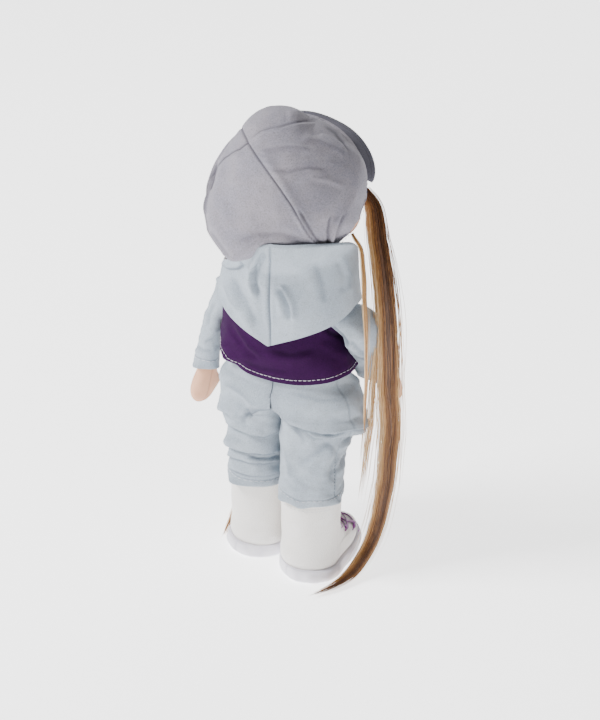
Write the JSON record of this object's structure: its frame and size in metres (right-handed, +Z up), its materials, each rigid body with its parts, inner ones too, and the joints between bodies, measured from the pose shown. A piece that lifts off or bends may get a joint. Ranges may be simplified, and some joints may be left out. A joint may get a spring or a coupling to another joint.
{
  "type": "rag doll",
  "caption": "Stuffed cloth doll with turning head and swinging limbs, in a cap, hooded top, trousers and laced boots that pull off, with hair down to the floor.",
  "frame": {"origin": "middle of the bounding box's plan, on the floor under the soles", "axes": "+Z up along the standing doll; the doll faces -Y; its left hand is at +X"},
  "size_m": [0.1576, 0.1128, 0.3182],
  "materials": {
    "torso_skin_cotton": "fine woven cotton, matte",
    "neck_dowel_beech": "plain sanded beech",
    "hoodie_body_purple_jersey": "cotton jersey, matte",
    "hood_jersey": "cotton jersey, matte",
    "trouser_seat_jersey": "cotton jersey, matte",
    "arm_thread_left_thread": "waxed thread",
    "arm_thread_right_thread": "waxed thread",
    "head_skin_cotton": "fine woven cotton, matte",
    "eye_left_bead": "polished bead",
    "eye_right_bead": "polished bead",
    "hair_wig_hair": "long doll hair, silky",
    "hair_lock_right_hair": "long doll hair, silky",
    "hair_strand_right_hair": "long doll hair, silky",
    "hair_lock_left_hair": "long doll hair, silky",
    "cap_crown_cap_cotton": "cotton twill, matte",
    "cap_band_cap_cotton": "cotton twill, matte",
    "cap_brim_cap_cotton": "cotton twill, matte",
    "arm_left_skin_cotton": "fine woven cotton, matte",
    "sleeve_left_jersey": "cotton jersey, matte",
    "arm_right_skin_cotton": "fine woven cotton, matte",
    "sleeve_right_jersey": "cotton jersey, matte",
    "leg_left_skin_cotton": "fine woven cotton, matte",
    "trouser_leg_left_jersey": "cotton jersey, matte",
    "leg_right_skin_cotton": "fine woven cotton, matte",
    "trouser_leg_right_jersey": "cotton jersey, matte",
    "boot_upper_left_boot_leather": "pebbled imitation leather, satin",
    "boot_sole_left_sole_foam": "foam rubber, matte",
    "boot_insole_left_sole_foam": "foam rubber, matte",
    "boot_lace_left_ribbon": "satin ribbon",
    "boot_upper_right_boot_leather": "pebbled imitation leather, satin",
    "boot_sole_right_sole_foam": "foam rubber, matte",
    "boot_insole_right_sole_foam": "foam rubber, matte",
    "boot_lace_right_ribbon": "satin ribbon"
  },
  "bodies": {
    "torso": {"torso": "torso_skin_cotton", "neck_dowel": "neck_dowel_beech", "hoodie_body": "hoodie_body_purple_jersey", "hood": "hood_jersey", "trouser_seat": "trouser_seat_jersey", "arm_thread_left": "arm_thread_left_thread", "arm_thread_right": "arm_thread_right_thread"},
    "head": {"head": "head_skin_cotton", "eye_left": "eye_left_bead", "eye_right": "eye_right_bead", "hair_wig": "hair_wig_hair", "hair_lock_right": "hair_lock_right_hair", "hair_strand_right": "hair_strand_right_hair", "hair_lock_left": "hair_lock_left_hair"},
    "cap": {"cap_crown": "cap_crown_cap_cotton", "cap_band": "cap_band_cap_cotton", "cap_brim": "cap_brim_cap_cotton"},
    "arm_left": {"arm_left": "arm_left_skin_cotton", "sleeve_left": "sleeve_left_jersey"},
    "arm_right": {"arm_right": "arm_right_skin_cotton", "sleeve_right": "sleeve_right_jersey"},
    "leg_left": {"leg_left": "leg_left_skin_cotton", "trouser_leg_left": "trouser_leg_left_jersey"},
    "leg_right": {"leg_right": "leg_right_skin_cotton", "trouser_leg_right": "trouser_leg_right_jersey"},
    "boot_left": {"boot_upper_left": "boot_upper_left_boot_leather", "boot_sole_left": "boot_sole_left_sole_foam", "boot_insole_left": "boot_insole_left_sole_foam", "boot_lace_left": "boot_lace_left_ribbon"},
    "boot_right": {"boot_upper_right": "boot_upper_right_boot_leather", "boot_sole_right": "boot_sole_right_sole_foam", "boot_insole_right": "boot_insole_right_sole_foam", "boot_lace_right": "boot_lace_right_ribbon"}
  },
  "joints": [
    {"name": "head_turn", "type": "hinge", "parent": "torso", "child": "head", "pos_m": [-0.00202, 0.00619, 0.2685], "axis": [0, 0, 1], "range_deg": [-43, 77], "deforming": ["hair_lock_right", "hair_strand_right", "hair_lock_left"]},
    {"name": "cap_lift", "type": "slide", "parent": "head", "child": "cap", "axis": [-0.2477, 0.6805, 0.6896], "range_m": [0, 0.06]},
    {"name": "shoulder_left", "type": "hinge", "parent": "torso", "child": "arm_left", "pos_m": [0.04128, 0.00619, 0.182], "axis": [-0.8829, 0.4695, 0], "range_deg": [-30, 95]},
    {"name": "shoulder_right", "type": "hinge", "parent": "torso", "child": "arm_right", "pos_m": [-0.04532, 0.00619, 0.182], "axis": [-0.8829, -0.4695, 0], "range_deg": [-60, 65], "deforming": ["hair_lock_right", "hair_strand_right"]},
    {"name": "hip_left", "type": "hinge", "parent": "torso", "child": "leg_left", "pos_m": [0.02198, 0.00619, 0.112], "axis": [-1, 0, 0], "range_deg": [-12, 80], "deforming": ["hair_lock_left"]},
    {"name": "hip_right", "type": "hinge", "parent": "torso", "child": "leg_right", "pos_m": [-0.02602, 0.00619, 0.112], "axis": [-1, 0, 0], "range_deg": [-12, 80], "deforming": ["hair_lock_right"]},
    {"name": "boot_left_off", "type": "slide", "parent": "leg_left", "child": "boot_left", "axis": [0, 0, -1], "range_m": [0, 0.05]},
    {"name": "boot_right_off", "type": "slide", "parent": "leg_right", "child": "boot_right", "axis": [0, 0, -1], "range_m": [0, 0.05]}
  ]
}
